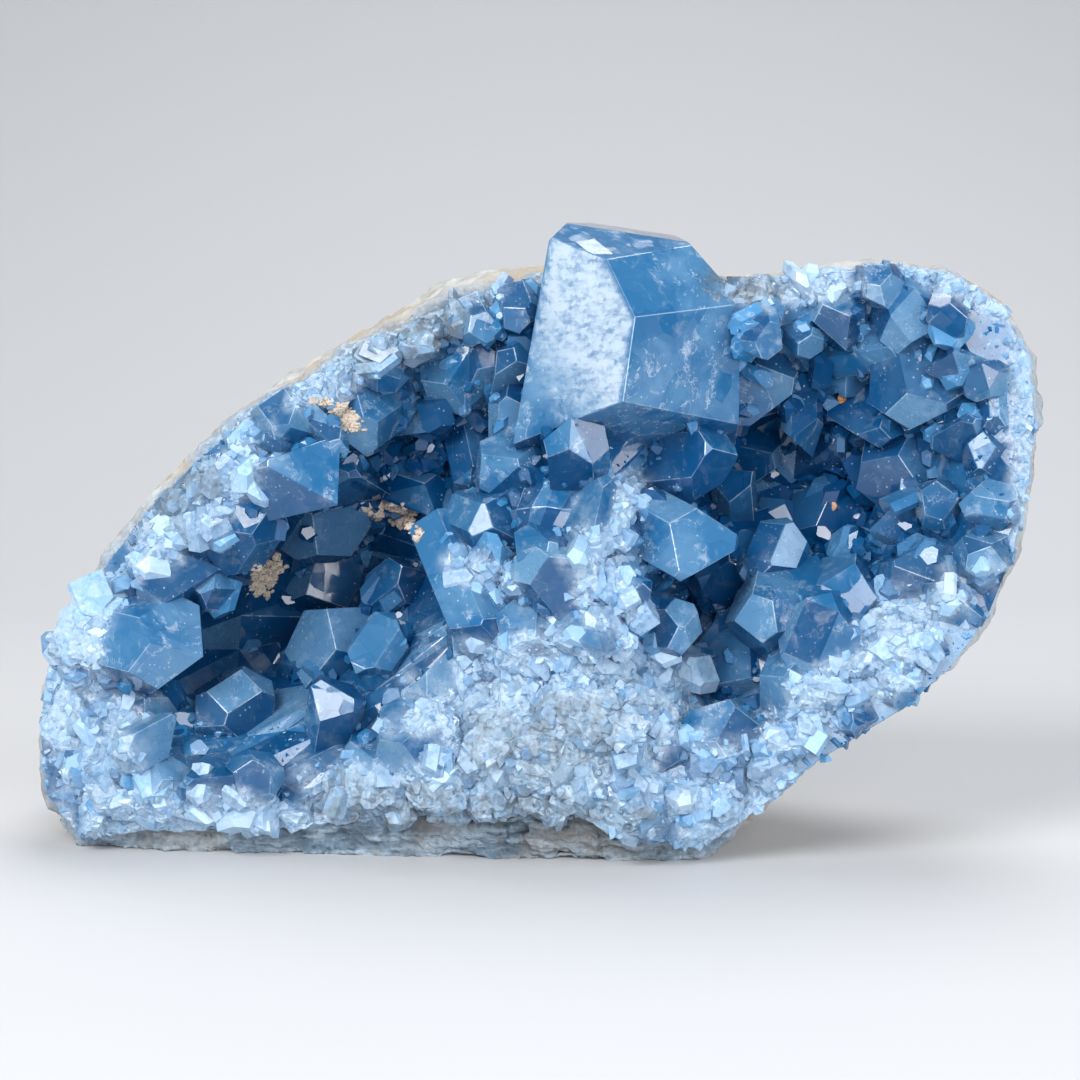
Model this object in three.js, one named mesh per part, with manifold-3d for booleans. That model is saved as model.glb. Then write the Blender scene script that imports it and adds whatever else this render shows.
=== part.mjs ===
// Celestine geode: one half of a hollow nodule, standing on its flattened underside with the open face
// forward. A pale rock shell carries one crust of intergrown blue crystals, which lines a left and a right
// hollow and the ridge between them. One great crystal stands in a notch of the upper rim.
// Millimetres. +Z is up, the open face looks along -Y, and the origin is under the middle of the nodule.

import * as THREE from "three";
import { mergeVertices } from "three/addons/utils/BufferGeometryUtils.js";
import Module from "manifold-3d";

const wasm = await Module();
wasm.setup();
const { Manifold, Mesh: WasmMesh } = wasm;

// ---- Driving dimensions ---------------------------------------------------------------------------------

const SECTORS = 42; // points round the nodule
const FACE_FOOT = -28; // y of the open face where it meets the ground, at x = 0
const FACE_LEAN = 0.17; // how far the open face leans back for each millimetre of height
const FACE_TURN = -0.1; // how far it comes forward for each millimetre to the right
const GIRTH = 9; // distance from the open face back to the nodule's widest section
const BACK_FOOT = 80; // distance from the widest section to the back, at the ground
const BACK_TOP = 56; // and the same at the top of the nodule
const TOP = 138; // height of the rim behind the great crystal
const GAP = 0.35; // clearance between the shell and the crust

// The nodule's outline, seen from the front: x and z, clockwise from the left end.
const OUTLINE = [
  [-118, 26],
  [-116, 42],
  [-107, 59],
  [-96, 75],
  [-80, 92],
  [-64, 104.5],
  [-44, 116],
  [-20, 128],
  [2, 134],
  [24, 136],
  [45, 132.5],
  [66, 135],
  [88, 135.5],
  [103, 131],
  [112.5, 119],
  [115, 103],
  [113, 86],
  [109, 68],
  [101, 51],
  [88, 37],
  [73, 27],
  [57, 16],
  [46, 6],
  [32, -4],
  [10, -5],
  [-20, -5],
  [-50, -5],
  [-84, -5],
  [-107, -1],
  [-116, 11],
];
const HEART = new THREE.Vector2(-4, 64); // the point that the outline is drawn round

// ---- Small tools ----------------------------------------------------------------------------------------

const lerp = THREE.MathUtils.lerp;
const radians = THREE.MathUtils.degToRad;
const smoothstep = THREE.MathUtils.smoothstep;

// A repeatable stream of numbers from 0 to 1.
function stream(seed) {
  let state = seed;
  return () => {
    state = (state * 1664525 + 1013904223) % 4294967296;
    return state / 4294967296;
  };
}

// Smooth noise from -1 to 1, one lump to a unit of length.
function noise(x, y, z) {
  const corner = (i, j, k) => {
    const s = Math.sin(i * 127.1 + j * 311.7 + k * 74.7) * 43758.5453;
    return s - Math.floor(s);
  };
  const [i, j, k] = [Math.floor(x), Math.floor(y), Math.floor(z)];
  const ease = (t) => t * t * (3 - 2 * t);
  const [u, v, w] = [ease(x - i), ease(y - j), ease(z - k)];
  const along = (dj, dk) => lerp(corner(i, j + dj, k + dk), corner(i + 1, j + dj, k + dk), u);
  return 2 * lerp(lerp(along(0, 0), along(1, 0), v), lerp(along(0, 1), along(1, 1), v), w) - 1;
}

// A closed surface as a solid.
function solid(geometry) {
  const bare = geometry.clone();
  bare.deleteAttribute("normal");
  bare.deleteAttribute("uv");
  const merged = mergeVertices(bare, 1e-4);
  return new Manifold(
    new WasmMesh({
      numProp: 3,
      vertProperties: merged.attributes.position.array,
      triVerts: new Uint32Array(merged.index.array),
    }),
  );
}

// The surface of a solid's largest piece, without edges too short to matter.
const SHORTEST_EDGE = 0.05;
function geometryOf(shape) {
  const pieces = shape.simplify(SHORTEST_EDGE).decompose();
  const largest = pieces.reduce((a, b) => (a.volume() > b.volume() ? a : b));
  const { numProp, numVert, vertProperties, triVerts } = largest.getMesh();
  const positions = new Float32Array(numVert * 3);
  for (let i = 0; i < numVert; i++) {
    positions.set(vertProperties.subarray(i * numProp, i * numProp + 3), i * 3);
  }
  const geometry = new THREE.BufferGeometry();
  geometry.setAttribute("position", new THREE.BufferAttribute(positions, 3));
  geometry.setIndex(new THREE.BufferAttribute(new Uint32Array(triVerts), 1));
  geometry.computeVertexNormals();
  return geometry;
}

// A closed solid through rings of points, from one pole to the other. The front comes first, and the rings
// run clockwise from the front.
function loft(firstPole, rings, lastPole) {
  const points = [firstPole, ...rings.flat(), lastPole];
  const count = rings[0].length;
  const faces = [];
  const at = (ring, i) => 1 + ring * count + (i % count);
  for (let i = 0; i < count; i++) {
    faces.push(0, at(0, i + 1), at(0, i));
    faces.push(points.length - 1, at(rings.length - 1, i), at(rings.length - 1, i + 1));
    for (let ring = 0; ring < rings.length - 1; ring++) {
      faces.push(at(ring, i), at(ring, i + 1), at(ring + 1, i));
      faces.push(at(ring, i + 1), at(ring + 1, i + 1), at(ring + 1, i));
    }
  }
  const geometry = new THREE.BufferGeometry();
  geometry.setAttribute(
    "position",
    new THREE.Float32BufferAttribute(points.flatMap((p) => p.toArray()), 3),
  );
  geometry.setIndex(faces);
  return solid(geometry);
}

// ---- The outline and the open face ----------------------------------------------------------------------

const corners = OUTLINE.map((corner) => new THREE.Vector2(...corner));
const outline = new THREE.SplineCurve([...corners, corners[0]]).getSpacedPoints(SECTORS).slice(0, SECTORS);

// The rim shows as a thin band of bare rock all round, and the foot as a wider strip.
const RIM = 2.4;
const STRIP = 8.5; // what the strip adds to the band
const STRIP_MIDDLE = 5; // and what it gains in the middle

function stripHeight({ x, y: z }) {
  const low = 1 - smoothstep(z, 4, 40);
  const along = smoothstep(x, -118, -88) * (1 - smoothstep(x, 15, 50));
  const middle = Math.exp(-(((x + 8) / 45) ** 2));
  return (STRIP + STRIP_MIDDLE * middle) * low * along;
}

const opening = outline.map((point) => {
  const inward = HEART.clone().sub(point).normalize();
  return point.clone().addScaledVector(inward, RIM).add(new THREE.Vector2(0, stripHeight(point)));
});

// The crust's own edge, a clearance inside the opening.
const crustEdge = opening.map((point) => {
  const inward = HEART.clone().sub(point).normalize();
  return point.clone().addScaledVector(inward, GAP);
});

const faceY = (x, z) => FACE_FOOT + FACE_LEAN * z + FACE_TURN * x;

// Hollows (depth above 0) and swellings (below 0) of the crust, measured back from the open face: the middle,
// the half-lengths along and across, the turn of the long axis from level in degrees, and the depth.
const RELIEF = [
  { name: "left hollow", at: [-52, 57], half: [44, 24], turn: 40, depth: 50 },
  { name: "left cleft", at: [-66, 44], half: [24, 9], turn: 48, depth: 14 },
  { name: "upper left hollow", at: [-24, 93], half: [32, 20], turn: 28, depth: 28 },
  { name: "right hollow", at: [62, 86], half: [40, 32], turn: -8, depth: 38 },
  { name: "right well", at: [42, 50], half: [14, 22], turn: 8, depth: 38 },
  { name: "pit beside the great crystal", at: [51, 97], half: [13, 12], turn: 0, depth: 18 },
  { name: "upper right hollow", at: [72, 112], half: [18, 12], turn: -20, depth: 12 },
  { name: "middle ridge", at: [7, 62], half: [22, 44], turn: 12, depth: -13 },
  { name: "lower swelling", at: [0, 24], half: [46, 20], turn: 0, depth: -13 },
  { name: "lower left bank", at: [-80, 20], half: [30, 16], turn: 0, depth: -5 },
];

function relief(x, z) {
  let depth = 0;
  for (const { at, half, turn, depth: deepest } of RELIEF) {
    const [c, s] = [Math.cos(radians(turn)), Math.sin(radians(turn))];
    const along = ((x - at[0]) * c + (z - at[1]) * s) / half[0];
    const across = ((z - at[1]) * c - (x - at[0]) * s) / half[1];
    const away = Math.hypot(along, across);
    depth += deepest * (1 - smoothstep(away, 0.15, 1.15));
  }
  return depth;
}

// The bare rock under the crust, and the crust's own surface between its crystals. share runs from 0 at the
// heart to 1 at the edge of the opening.
const CRUST_EDGE = 3.2; // thickness of the crust where it meets the rim
const CRUST_MIDDLE = 8; // and in the middle
const SUNK = 0.8; // the crust's edge lies this far behind the open face
const crustThickness = (share) => lerp(CRUST_MIDDLE, CRUST_EDGE, smoothstep(share, 0.7, 1));
const crustY = (x, z, share) => faceY(x, z) + SUNK + relief(x, z) * (1 - smoothstep(share, 0.86, 1));
const rockY = (x, z, share) => crustY(x, z, share) + crustThickness(share);

// A ring of points at a share of the way from the heart to an outline, at the depth that a function gives.
function ring(edge, share, depthAt) {
  return edge.map((point) => {
    const flat = HEART.clone().lerp(point, share);
    return new THREE.Vector3(flat.x, depthAt(flat.x, flat.y, share), flat.y);
  });
}

const heartPoint = (y) => new THREE.Vector3(HEART.x, y, HEART.y);

// ---- Rock shell -----------------------------------------------------------------------------------------

const FRONT_Y = -140; // in front of everything
const BACK_Y = 140; // behind everything
const SHARES = [0.24, 0.44, 0.62, 0.78, 0.91, 1]; // rings of the pocket's floor

// The whole nodule before it was hollow: flat in front, boxy behind, with lumps, ledges and pits.
const FRONT_SHARES = [0.5, 0.86, 0.95, 0.985]; // rings of the open face
const BACK_SHARES = [1, 0.99, 0.965, 0.93, 0.88, 0.81, 0.72, 0.61, 0.48, 0.34, 0.18]; // and of the outside
const BOXINESS = 3.2; // 2 would make the back an ellipse

function nodule() {
  const rims = FRONT_SHARES.map((share) => {
    const rounding = GIRTH * (1 - (1 - share ** 6) ** 0.5);
    return ring(outline, share, (x, z) => faceY(x, z) + rounding);
  });
  const backs = BACK_SHARES.map((share) => {
    const bulge = (1 - share ** BOXINESS) ** (1 / BOXINESS);
    const smooth = ring(outline, share, (x, z) => backY(x, z, bulge));
    return smooth.map((point) => weathered(point, share, bulge));
  });
  const lastPole = weathered(heartPoint(backY(HEART.x, HEART.y, 1)), 0, 1);
  return loft(heartPoint(faceY(HEART.x, HEART.y)), [...rims, ...backs], lastPole);
}

// How far back the outside is, for a bulge from 0 at the widest section to 1 at the back.
function backY(x, z, bulge) {
  const depth = lerp(BACK_FOOT, BACK_TOP, THREE.MathUtils.clamp(z / TOP, 0, 1));
  return faceY(x, z) + GIRTH + depth * bulge;
}

// What the weather left on the shell's outside: how high each stands or how deep it goes, and how long it is
// along x, y and z.
const LUMP = { height: 4.5, long: [30, 26, 26] };
const KNOB = { height: 2, long: [15, 14, 14] };
const LEDGE = { height: 3, long: [40, 20, 17] };
const PIT = { depth: 3.2, long: [19, 18, 18] };

// Lumps, ledges and pits of the shell's outside. They fade towards its widest section, and all but the lumps
// fade towards the pole at the back as well.
function weathered(point, share, bulge) {
  const { x, y, z } = point;
  const rough = (long, shift) => noise(x / long[0] + shift, y / long[1] + shift, z / long[2] + shift);
  const lump = LUMP.height * rough(LUMP.long, 0);
  const knob = KNOB.height * rough(KNOB.long, 9);
  const ledge = LEDGE.height * (smoothstep(rough(LEDGE.long, 5), -0.1, 0.1) - 0.5);
  const pit = -PIT.depth * smoothstep(rough(PIT.long, 30), 0.4, 0.8);
  const fromPole = smoothstep(share, 0.15, 0.5);
  const fromEdge = lerp(0.25, 1, smoothstep(bulge, 0, 0.5));
  const rise = (lump + (knob + ledge + pit) * fromPole) * fromEdge;
  const out = new THREE.Vector3(x - HEART.x, 0, z - HEART.y).normalize().multiplyScalar(share ** 2);
  out.y = bulge;
  return point.clone().addScaledVector(out.normalize(), rise);
}

// Everything in front of a floor, inside the opening. All floors share one lattice, so that they can't cross.
function inFrontOf(floorY) {
  const floor = SHARES.map((share) => ring(opening, share, floorY)).reverse();
  const front = ring(opening, 1, () => FRONT_Y);
  return loft(heartPoint(FRONT_Y), [front, ...floor], heartPoint(floorY(HEART.x, HEART.y, 0)));
}

// What the crust fills.
const pocket = () => inFrontOf(rockY);

// A pit that has weathered out of the strip of bare rock: where its mouth is, and its half-lengths.
const FOOT_PIT = { at: [-5, 7], half: [3.6, 6, 4.2], turn: 0.5 };

function footPit() {
  const [x, z] = FOOT_PIT.at;
  const stone = new THREE.IcosahedronGeometry(1, 0).scale(...FOOT_PIT.half).rotateY(FOOT_PIT.turn);
  return solid(stone.translate(x, faceY(x, z), z));
}

// ---- Crystals -------------------------------------------------------------------------------------------

// A convex solid with flat faces, each given by the way it looks and its distance from the middle.
function faceted(reach, faces) {
  let shape = solid(new THREE.BoxGeometry(2 * reach, 2 * reach, 2 * reach));
  for (const { looks, distance } of faces) {
    shape = shape.trimByPlane(looks.map((n) => -n), -distance);
  }
  return shape;
}

// Celestine's crystal forms as the way one face of each looks, worked out from its cell. The crystals are
// long along a, flattened along c, and pointed by the m and d faces.
const CELL = { a: 8.36, b: 5.35, c: 6.87 };
function looking(h, k, l) {
  return new THREE.Vector3(h / CELL.a, k / CELL.b, l / CELL.c).normalize();
}
const FORM_C = looking(0, 0, 1);
const FORM_O = looking(0, 1, 1);
const FORM_M = looking(2, 1, 0);
const FORM_D = looking(1, 0, 1);

// The habits that the crystals have: how far out the m faces, the d faces and the flat end lie, as shares of
// the length. A form that lies further out makes small faces or none.
const HABITS = [
  { name: "pyramid", m: 1, d: 1, end: 2 },
  { name: "chisel", m: 1.5, d: 1, end: 2 },
  { name: "wedge", m: 1, d: 1.45, end: 2 },
  { name: "block", m: 1.2, d: 1.2, end: 0.8 },
];

// One crystal, its middle at the origin and its point towards +X.
function crystal({ length, width, thick, root }, random) {
  const habit = HABITS[Math.floor(HABITS.length * random())];
  const uneven = () => 0.92 + 0.16 * random();
  const faces = [
    { looks: [-1, 0, 0], distance: root },
    { looks: [1, 0, 0], distance: length * habit.end },
  ];
  const add = (form, signs, distance) => {
    for (const [a, b, c] of signs) {
      faces.push({ looks: [form.x * a, form.y * b, form.z * c], distance: distance * uneven() });
    }
  };
  add(FORM_C, [[1, 1, 1], [1, 1, -1]], (thick / 2) * (0.9 + 0.3 * random()));
  add(FORM_O, [[1, 1, 1], [1, -1, 1], [1, 1, -1], [1, -1, -1]], (width / 2) * FORM_O.y);
  add(FORM_M, [[1, 1, 1], [1, -1, 1]], length * FORM_M.x * habit.m * (0.95 + 0.2 * random()));
  add(FORM_D, [[1, 1, 1], [1, 1, -1]], length * FORM_D.x * habit.d * (0.95 + 0.2 * random()));
  return faceted(2 * Math.max(length, width, thick, root), faces);
}

// Turns a crystal so that its point lies along a direction, rolled about it, and puts its middle at a place.
function placed(shape, place, direction, roll) {
  const turn = new THREE.Quaternion().setFromUnitVectors(new THREE.Vector3(1, 0, 0), direction);
  turn.multiply(new THREE.Quaternion().setFromAxisAngle(new THREE.Vector3(1, 0, 0), radians(roll)));
  const matrix = new THREE.Matrix4().compose(place, turn, new THREE.Vector3(1, 1, 1));
  return shape.transform(matrix.toArray());
}

// How far out from the heart a place on the open face is, as a share of the way to the opening's edge.
function shareAt(x, z) {
  const flat = new THREE.Vector2(x, z).sub(HEART);
  const angle = flat.angle();
  let best = null;
  for (const [i, a] of opening.entries()) {
    const b = opening[(i + 1) % opening.length];
    const [ta, tb] = [a.clone().sub(HEART).angle(), b.clone().sub(HEART).angle()];
    const span = THREE.MathUtils.euclideanModulo(ta - tb, 2 * Math.PI);
    const into = THREE.MathUtils.euclideanModulo(ta - angle, 2 * Math.PI);
    if (into <= span && span < Math.PI) {
      best = a.clone().lerp(b, into / span).distanceTo(HEART);
    }
  }
  return flat.length() / best;
}

// The crust's outward direction at a place.
function outward(x, z, share) {
  const reach = 3;
  const slopeX = (crustY(x + reach, z, share) - crustY(x - reach, z, share)) / (2 * reach);
  const slopeZ = (crustY(x, z + reach, share) - crustY(x, z - reach, share)) / (2 * reach);
  return new THREE.Vector3(slopeX, -1, slopeZ).normalize();
}

// ---- The great crystal ----------------------------------------------------------------------------------

const GREAT_MIDDLE = new THREE.Vector3(20, -8, 118);
const GREAT_CORNER = [21.6, -32, 123.5]; // where its three large front faces meet
const GREAT_REACH = 24; // no small crystal has its middle nearer than this

// Its faces, each by a point that it goes through and the way it looks. grown moves every face outwards.
function greatCrystal(grown = 0) {
  const facets = [
    { name: "frosted left face", through: GREAT_CORNER, looks: [-0.507, -0.854, 0.117] },
    { name: "clear right face", through: GREAT_CORNER, looks: [0.59, -0.806, -0.039] },
    { name: "sloping top face", through: GREAT_CORNER, looks: [0.465, -0.714, 0.523] },
    { name: "upper top face", through: [15.5, -26.6, 136.2], looks: [0.133, -0.367, 0.921] },
    { name: "crown", through: [6.4, -15, 144.1], looks: [0.15, -0.05, 0.987] },
    { name: "left shoulder", through: [4.5, -18, 142.3], looks: [-0.7, 0, 0.71] },
    { name: "right shoulder", through: [34.7, -7, 139.8], looks: [0.75, 0, 0.66] },
    { name: "left end", through: [2.7, -18, 140.5], looks: [-0.95, 0.25, 0.16] },
    { name: "right end", through: [46.1, -14, 115], looks: [1, 0, 0] },
    { name: "foot", through: [19, -33, 104.9], looks: [0.13, -0.45, -0.88] },
    { name: "back", through: [20, 18, 118], looks: [0, 1, 0] },
  ];
  const faces = facets.map(({ through, looks }) => {
    const way = new THREE.Vector3(...looks).normalize();
    const distance = new THREE.Vector3(...through).sub(GREAT_MIDDLE).dot(way);
    return { looks: way.toArray(), distance: distance + grown };
  });
  return faceted(80, faces).translate(GREAT_MIDDLE.toArray());
}

// ---- The crystals of the crust --------------------------------------------------------------------------

// Crystals that stand out by size or shape: the place of the middle on the open face (x, z), how far it
// stands out of the crust, length, width and thickness, the way the point swings (degrees from level, seen
// from the front), how far it rises towards the front, and the roll about its own length.
const LARGE = [
  { name: "left prism", at: [-88, 48], out: 4, size: [29, 28, 21], swing: -8, rise: 30, roll: 20 },
  { name: "hollow block", at: [-54, 57], out: 2, size: [34, 30, 22], swing: 25, rise: 35, roll: 10 },
  { name: "upper left block", at: [-57, 85], out: 3, size: [26, 17, 16], swing: 15, rise: 25, roll: 60 },
  { name: "rim block", at: [-59, 99], out: 2, size: [15, 13, 10], swing: -50, rise: 35, roll: 0 },
  { name: "slanting prism", at: [-49, 96], out: 3, size: [15, 7, 7], swing: -40, rise: 30, roll: 0 },
  { name: "grey block", at: [-41, 79], out: 3, size: [14, 13, 10], swing: 70, rise: 50, roll: 15 },
  { name: "dark block", at: [-29, 100], out: 2, size: [20, 16, 14], swing: 10, rise: 35, roll: 40 },
  { name: "grey prism", at: [-27, 89], out: 3, size: [20, 11, 9], swing: 55, rise: 40, roll: 0 },
  { name: "pentagon", at: [-15, 86], out: 5, size: [14, 14, 10], swing: -75, rise: 50, roll: 80 },
  { name: "teal block", at: [-26, 79], out: 4, size: [18, 13, 11], swing: -15, rise: 35, roll: 30 },
  { name: "hollow prism", at: [-13, 111], out: 2, size: [13, 9, 8], swing: 65, rise: 45, roll: 20 },
  { name: "upper wedge", at: [-5, 126], out: 3, size: [14, 11, 9], swing: -70, rise: 45, roll: 0 },
  { name: "upper wedge 2", at: [-14, 122], out: 2, size: [14, 11, 9], swing: -60, rise: 40, roll: 45 },
  { name: "domed crystal", at: [-72, 30], out: 3, size: [23, 24, 17], swing: 75, rise: 45, roll: 0 },
  { name: "small point", at: [-58, 38], out: 3, size: [14, 10, 9], swing: 70, rise: 40, roll: 20 },
  { name: "white blade", at: [-47, 31], out: 3, size: [22, 14, 11], swing: 78, rise: 40, roll: 10 },
  { name: "bank block", at: [-65, 18], out: 2, size: [15, 14, 11], swing: 60, rise: 50, roll: 30 },
  { name: "corner prism", at: [-91, 25], out: 3, size: [18, 16, 11], swing: 60, rise: 45, roll: 0 },
  { name: "round block", at: [-36, 44], out: 3, size: [20, 18, 14], swing: 110, rise: 50, roll: 20 },
  { name: "clear wedge", at: [-32, 58], out: 3, size: [19, 15, 13], swing: 160, rise: 42, roll: 0 },
  { name: "bright wedge", at: [-15, 59], out: 4, size: [24, 16, 11], swing: -65, rise: 35, roll: 30 },
  { name: "deep block", at: [-64, 38], out: 1, size: [14, 10, 9], swing: 20, rise: 40, roll: 0 },
  { name: "white tooth", at: [-10, 69], out: 3, size: [11, 9, 7], swing: 160, rise: 40, roll: 0 },
  { name: "blue tooth", at: [0, 71], out: 3, size: [13, 12, 9], swing: 90, rise: 45, roll: 0 },
  { name: "teal wedge", at: [-78, 60], out: 2, size: [15, 11, 9], swing: -30, rise: 35, roll: 0 },
  { name: "under great", at: [9, 92], out: 3, size: [22, 18, 14], swing: 95, rise: 40, roll: 0 },
  { name: "frosted slab", at: [31, 90], out: 4, size: [28, 20, 11], swing: 10, rise: 40, roll: 75 },
  { name: "ridge cluster", at: [32, 72], out: 4, size: [26, 21, 15], swing: -25, rise: 45, roll: 30 },
  { name: "pale tooth", at: [19, 62], out: 4, size: [14, 11, 9], swing: -20, rise: 35, roll: 0 },
  { name: "blue tooth right", at: [29, 52], out: 4, size: [19, 16, 13], swing: 5, rise: 30, roll: 20 },
  { name: "pale tooth low", at: [12, 53], out: 4, size: [17, 12, 10], swing: -15, rise: 35, roll: 10 },
  { name: "long prism", at: [47, 78], out: 4, size: [24, 13, 10], swing: 98, rise: 35, roll: 20 },
  { name: "flat prism", at: [55, 87], out: 3, size: [18, 12, 9], swing: 5, rise: 30, roll: 0 },
  { name: "blue facet", at: [19, 31], out: 1, size: [13, 9, 8], swing: 60, rise: 60, roll: 0 },
  { name: "big blue block", at: [70, 92], out: 3, size: [20, 17, 14], swing: 50, rise: 45, roll: 10 },
  { name: "hanging prism", at: [62, 105], out: 4, size: [24, 11, 9], swing: -92, rise: 32, roll: 0 },
  { name: "milky block", at: [50, 121], out: 3, size: [17, 12, 10], swing: -80, rise: 35, roll: 20 },
  { name: "pale block", at: [60, 119], out: 2, size: [13, 9, 8], swing: -45, rise: 45, roll: 0 },
  { name: "tilted block", at: [79, 116], out: 3, size: [15, 10, 9], swing: 12, rise: 42, roll: 0 },
  { name: "right block", at: [95, 112], out: 2, size: [12, 9, 8], swing: 165, rise: 40, roll: 0 },
  { name: "sparkling block", at: [101, 109], out: 2, size: [11, 11, 9], swing: 180, rise: 50, roll: 20 },
  { name: "pale pentagon", at: [78, 87], out: 3, size: [11, 9, 7], swing: 100, rise: 55, roll: 0 },
  { name: "pale block right", at: [93, 80], out: 2, size: [14, 13, 10], swing: 170, rise: 45, roll: 0 },
  { name: "blue block right", at: [84, 73], out: 2, size: [17, 13, 10], swing: 120, rise: 45, roll: 0 },
  { name: "lower blue block", at: [56, 66], out: 3, size: [21, 19, 14], swing: 120, rise: 40, roll: 20 },
  { name: "blue point", at: [73, 68], out: 2, size: [14, 10, 8], swing: 80, rise: 45, roll: 0 },
  { name: "top rim block", at: [78, 130], out: 3, size: [16, 13, 10], swing: -80, rise: 45, roll: 0 },
  { name: "round bank block", at: [64, 41], out: 2, size: [12, 11, 10], swing: 100, rise: 60, roll: 0 },
  { name: "top right block", at: [93, 124], out: 2, size: [12, 11, 9], swing: -120, rise: 50, roll: 0 },
];

function largeCrystals(random) {
  return LARGE.map(({ at: [x, z], out, size: [length, width, thick], swing, rise, roll }) => {
    const share = shareAt(x, z);
    const direction = new THREE.Vector3(
      Math.cos(radians(swing)) * Math.cos(radians(rise)),
      -Math.sin(radians(rise)),
      Math.sin(radians(swing)) * Math.cos(radians(rise)),
    );
    const shape = crystal({ length: length / 2, width, thick, root: 0.9 * length }, random);
    return placed(shape, new THREE.Vector3(x, crustY(x, z, share) - out, z), direction, roll);
  });
}

// Whether a large crystal already fills a place.
const KEPT_CLEAR = 0.42; // of a large crystal's length
function taken(x, z) {
  const great = Math.hypot(x - GREAT_MIDDLE.x, z - GREAT_MIDDLE.z) < GREAT_REACH;
  return great || LARGE.some(({ at, size }) => Math.hypot(x - at[0], z - at[1]) < KEPT_CLEAR * size[0]);
}

// A crystal that grows square to the crust, give or take, with its middle at the crust's surface.
const ROOT = 14; // how far it goes on behind its middle
const TILT = 0.9; // how far its direction strays, as a slope from one side to the other
function grownAt(x, z, share, size, length, random) {
  const direction = outward(x, z, share);
  direction.x += TILT * (random() - 0.5);
  direction.z += TILT * (random() - 0.5);
  const thick = size * (0.75 + 0.4 * random());
  const shape = crystal({ length, width: size, thick, root: ROOT }, random);
  const place = new THREE.Vector3(x, crustY(x, z, share), z);
  return placed(shape, place, direction.normalize(), 360 * random());
}

// The crystals between the large ones, on a staggered grid: smaller at the rim and larger in the hollows.
const SPACING = 13.4;
const ROW = 0.87 * SPACING; // height of a row
const FIRST_ROW = 5; // height of the lowest one
const STRAY = 0.4 * SPACING; // how far a crystal strays from the grid, from one side to the other
const FILLED = 0.88; // share of the way to the opening's edge, beyond which the rim's own crystals grow

// Where the crystals are crushed: the middle, the half-lengths, and the share of their length that is left.
const CRUSHED = { at: [4, 32], half: [36, 22], left: 0.45 };

function fillCrystals(random) {
  const made = [];
  for (let row = 0; FIRST_ROW + row * ROW < TOP; row++) {
    for (let column = -10; column <= 10; column++) {
      const x = (column + (row % 2) / 2) * SPACING + STRAY * (random() - 0.5);
      const z = FIRST_ROW + row * ROW + STRAY * (random() - 0.5);
      const share = shareAt(x, z);
      if (share > FILLED || taken(x, z)) {
        continue;
      }
      const rim = smoothstep(share, 0.72, 0.9);
      const hollow = smoothstep(relief(x, z), 4, 26);
      const size = (21 + 4 * hollow - 6 * rim) * (0.85 + 0.35 * random());
      const across = (x - CRUSHED.at[0]) / CRUSHED.half[0];
      const up = (z - CRUSHED.at[1]) / CRUSHED.half[1];
      const whole = lerp(CRUSHED.left, 1, smoothstep(Math.hypot(across, up), 0.6, 1.1));
      const length = size * (0.3 + 0.06 * hollow + 0.2 * random()) * whole;
      made.push(grownAt(x, z, share, size, length, random));
    }
  }
  return made;
}

// A row of small crystals close along the rim.
const RIM_CRYSTALS = 49;
const RIM_SHARE = 0.92; // where the row runs, as a share of the way to the opening's edge

function rimCrystals(random) {
  const made = [];
  const edge = new THREE.SplineCurve(opening.concat([opening[0]])).getSpacedPoints(RIM_CRYSTALS);
  for (const point of edge.slice(0, RIM_CRYSTALS)) {
    const share = RIM_SHARE + 0.05 * (random() - 0.5);
    const { x, y: z } = HEART.clone().lerp(point, share);
    if (taken(x, z)) {
      continue;
    }
    const size = 9 + 6 * random();
    made.push(grownAt(x, z, share, size, size * (0.28 + 0.2 * random()), random));
  }
  return made;
}

// ---- Crystal crust --------------------------------------------------------------------------------------

// The massive layer that the crystals grow out of.
function crustBase() {
  const insideEdge = [FRONT_Y, BACK_Y].map((y) => ring(crustEdge, 1, () => y));
  const column = loft(heartPoint(FRONT_Y), insideEdge, heartPoint(BACK_Y));
  const layer = inFrontOf((x, z, share) => rockY(x, z, share) - GAP).subtract(inFrontOf(crustY));
  return layer.intersect(column);
}

// Where crystals may be: in front of the rim, and inside the opening down to their roots in the layer.
const ROOTED = 1.2; // distance from the ends of the roots to the back of the layer
const BEYOND = 1.015; // how far the crystals reach over the rim, as a share of the way to the edge
const WITHIN = 0.99; // and how far behind it

function crystalSpace() {
  const rootsY = (x, z, share) => rockY(x, z, share) - GAP - ROOTED;
  const rimY = (x, z) => faceY(x, z) - GAP;
  const floor = SHARES.slice(0, -1).map((share) => ring(opening, share, rootsY));
  const rings = [
    ring(opening, BEYOND, () => FRONT_Y),
    ring(opening, BEYOND, rimY),
    ring(crustEdge, WITHIN, rimY),
    ring(crustEdge, WITHIN, rootsY),
    ...floor.reverse(),
  ];
  return loft(heartPoint(FRONT_Y), rings, heartPoint(rootsY(HEART.x, HEART.y, 0)));
}

function crust() {
  const random = stream(11);
  const grown = [...largeCrystals(random), ...fillCrystals(random), ...rimCrystals(random)];
  const crystals = Manifold.union(grown).intersect(crystalSpace());
  return Manifold.union([crustBase(), crystals, greatCrystal()]);
}

// ---- Assembly -------------------------------------------------------------------------------------------

const GROUND = 0;
const CRUST_FOOT = 0.8; // height of the crust's lowest point, so that the shell alone carries the nodule

const shellSolid = nodule()
  .subtract(pocket())
  .subtract(greatCrystal(GAP))
  .subtract(footPit())
  .trimByPlane([0, 0, 1], GROUND);
const crustSolid = crust().trimByPlane([0, 0, 1], CRUST_FOOT);

const geode = new THREE.Group();

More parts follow.
